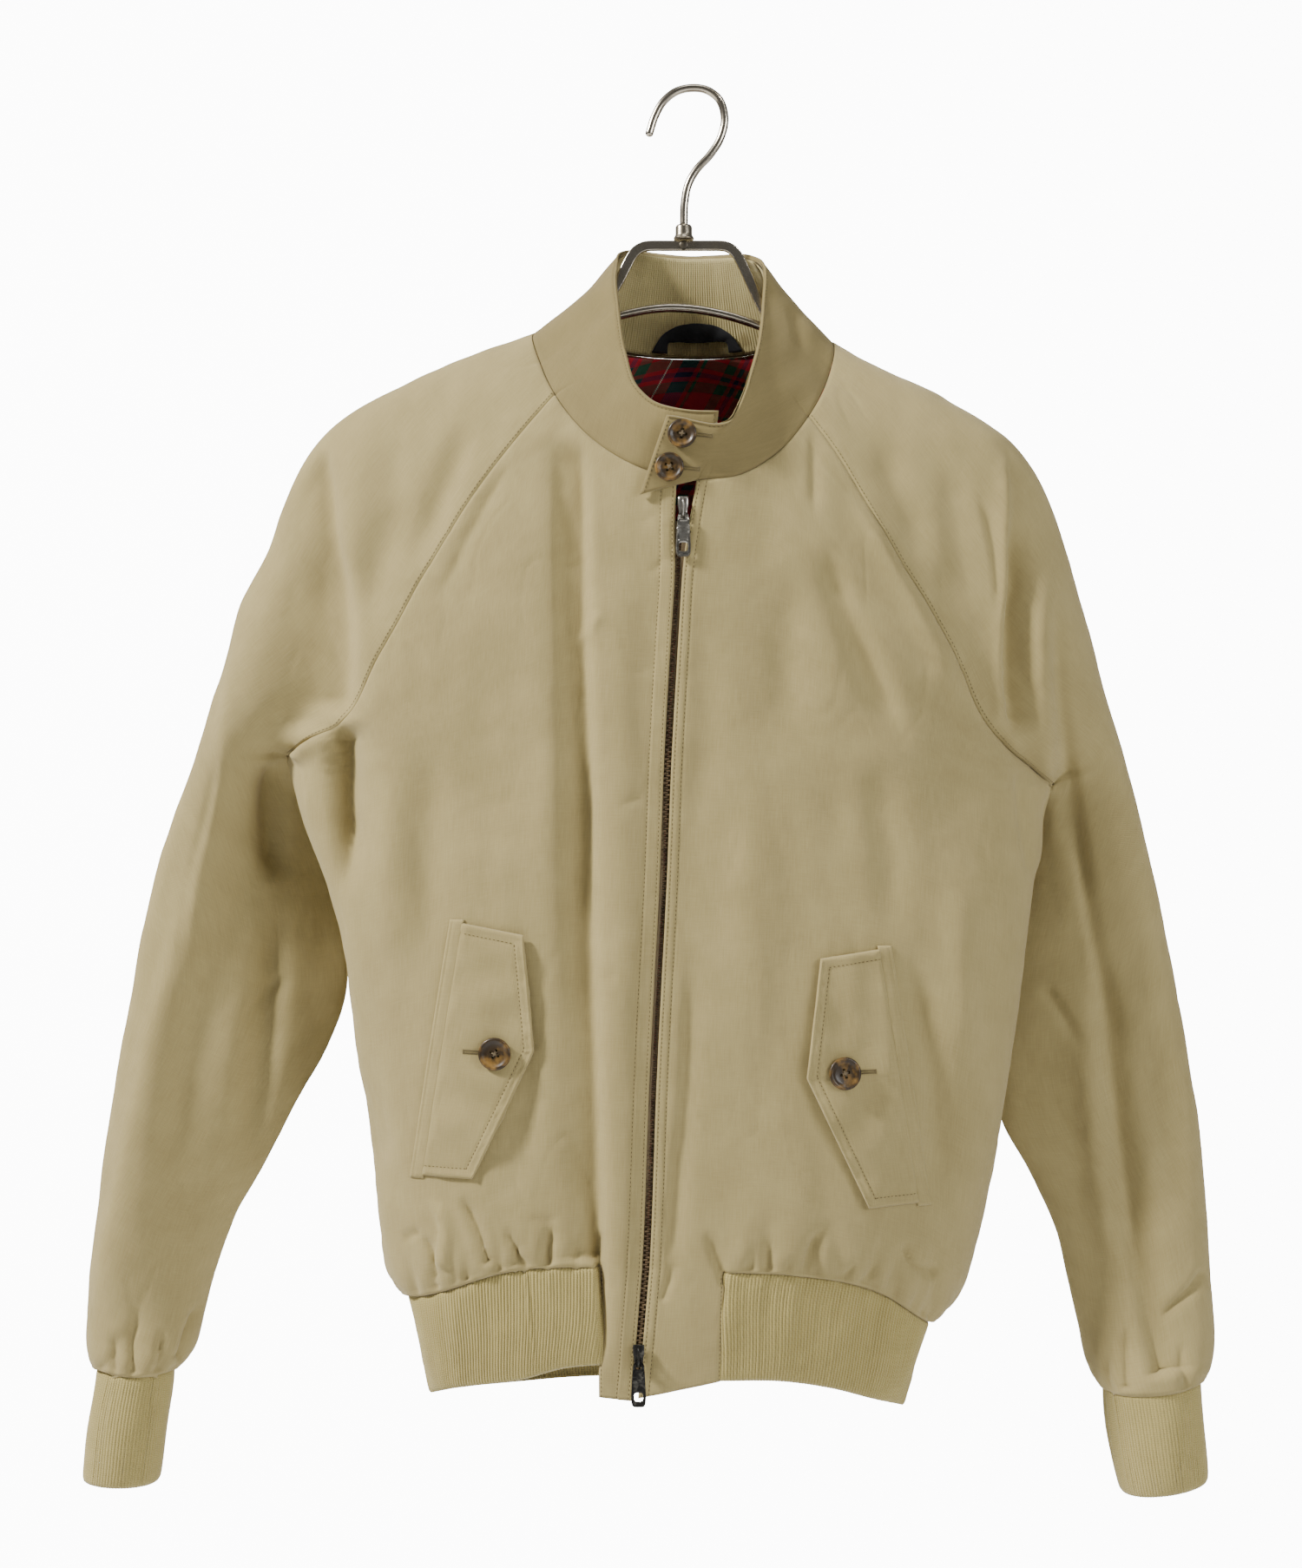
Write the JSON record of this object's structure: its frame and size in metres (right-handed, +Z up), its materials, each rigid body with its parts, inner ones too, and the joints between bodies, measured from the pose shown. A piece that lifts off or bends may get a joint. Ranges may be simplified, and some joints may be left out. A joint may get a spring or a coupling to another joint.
{
  "type": "harrington jacket on a hanger",
  "caption": "Zip-front blouson jacket with raglan sleeves, buttoned stand collar, slanting flap pockets and rib hem and cuffs, hanging on a metal hanger.",
  "frame": {"origin": "the inner top of the hanger's hook, where the rail carries the jacket", "axes": "+X across, towards the wearer's left; -Y the front of the jacket; +Z up along the body"},
  "size_m": [0.725, 0.1393, 0.8982],
  "materials": {
    "shell_cloth": "matt close-woven cotton poplin, tan",
    "collar_rib": "fine rib knit, darker tan",
    "rib_knit": "matt rib knit, tan",
    "check_lining": "woven check, red ground with green, navy and white",
    "black_tape": "plain black tape",
    "zip_tape": "woven tape",
    "zip_teeth": "dark brown moulded teeth",
    "nickel": "worn nickel plate",
    "black_metal": "black enamel",
    "button": "mottled brown, glossy, four holes",
    "hanger_steel": "polished",
    "dark_rivet": "dark"
  },
  "bodies": {
    "jacket": {"back": "shell_cloth", "back_lining": "check_lining", "collar": "shell_cloth", "collar_button_lower": "button", "collar_button_upper": "button", "collar_facing": "collar_rib", "cuff_left": "rib_knit", "cuff_right": "rib_knit", "flap_button_left": "button", "flap_button_right": "button", "flap_left": "shell_cloth", "flap_right": "shell_cloth", "front_left": "shell_cloth", "front_right": "shell_cloth", "hanger_bar": "hanger_steel", "hanger_bracket": "hanger_steel", "hanger_ferrule": "hanger_steel", "hanger_hook": "hanger_steel", "hanger_rivet": "dark_rivet", "hem_rib": "rib_knit", "neck_label": "black_tape", "sleeve_left": "shell_cloth", "sleeve_right": "shell_cloth", "slider_bottom": "black_metal", "slider_top": "nickel", "zip_chain": "zip_teeth", "zip_tape_left": "zip_tape", "zip_tape_right": "zip_tape"},
    "pull_tab_top": {"pull_tab_top": "nickel"},
    "pull_tab_bottom": {"pull_tab_bottom": "black_metal"}
  },
  "joints": [
    {"name": "pull_tab_top_swing", "type": "hinge", "parent": "jacket", "child": "pull_tab_top", "pos_m": [-0.00647, -0.08255, -0.2775], "axis": [-1, 0, 0], "range_deg": [0, 105]},
    {"name": "pull_tab_bottom_swing", "type": "hinge", "parent": "jacket", "child": "pull_tab_bottom", "pos_m": [-0.03341, -0.07355, -0.791], "axis": [-1, 0, 0], "range_deg": [0, 120]}
  ]
}
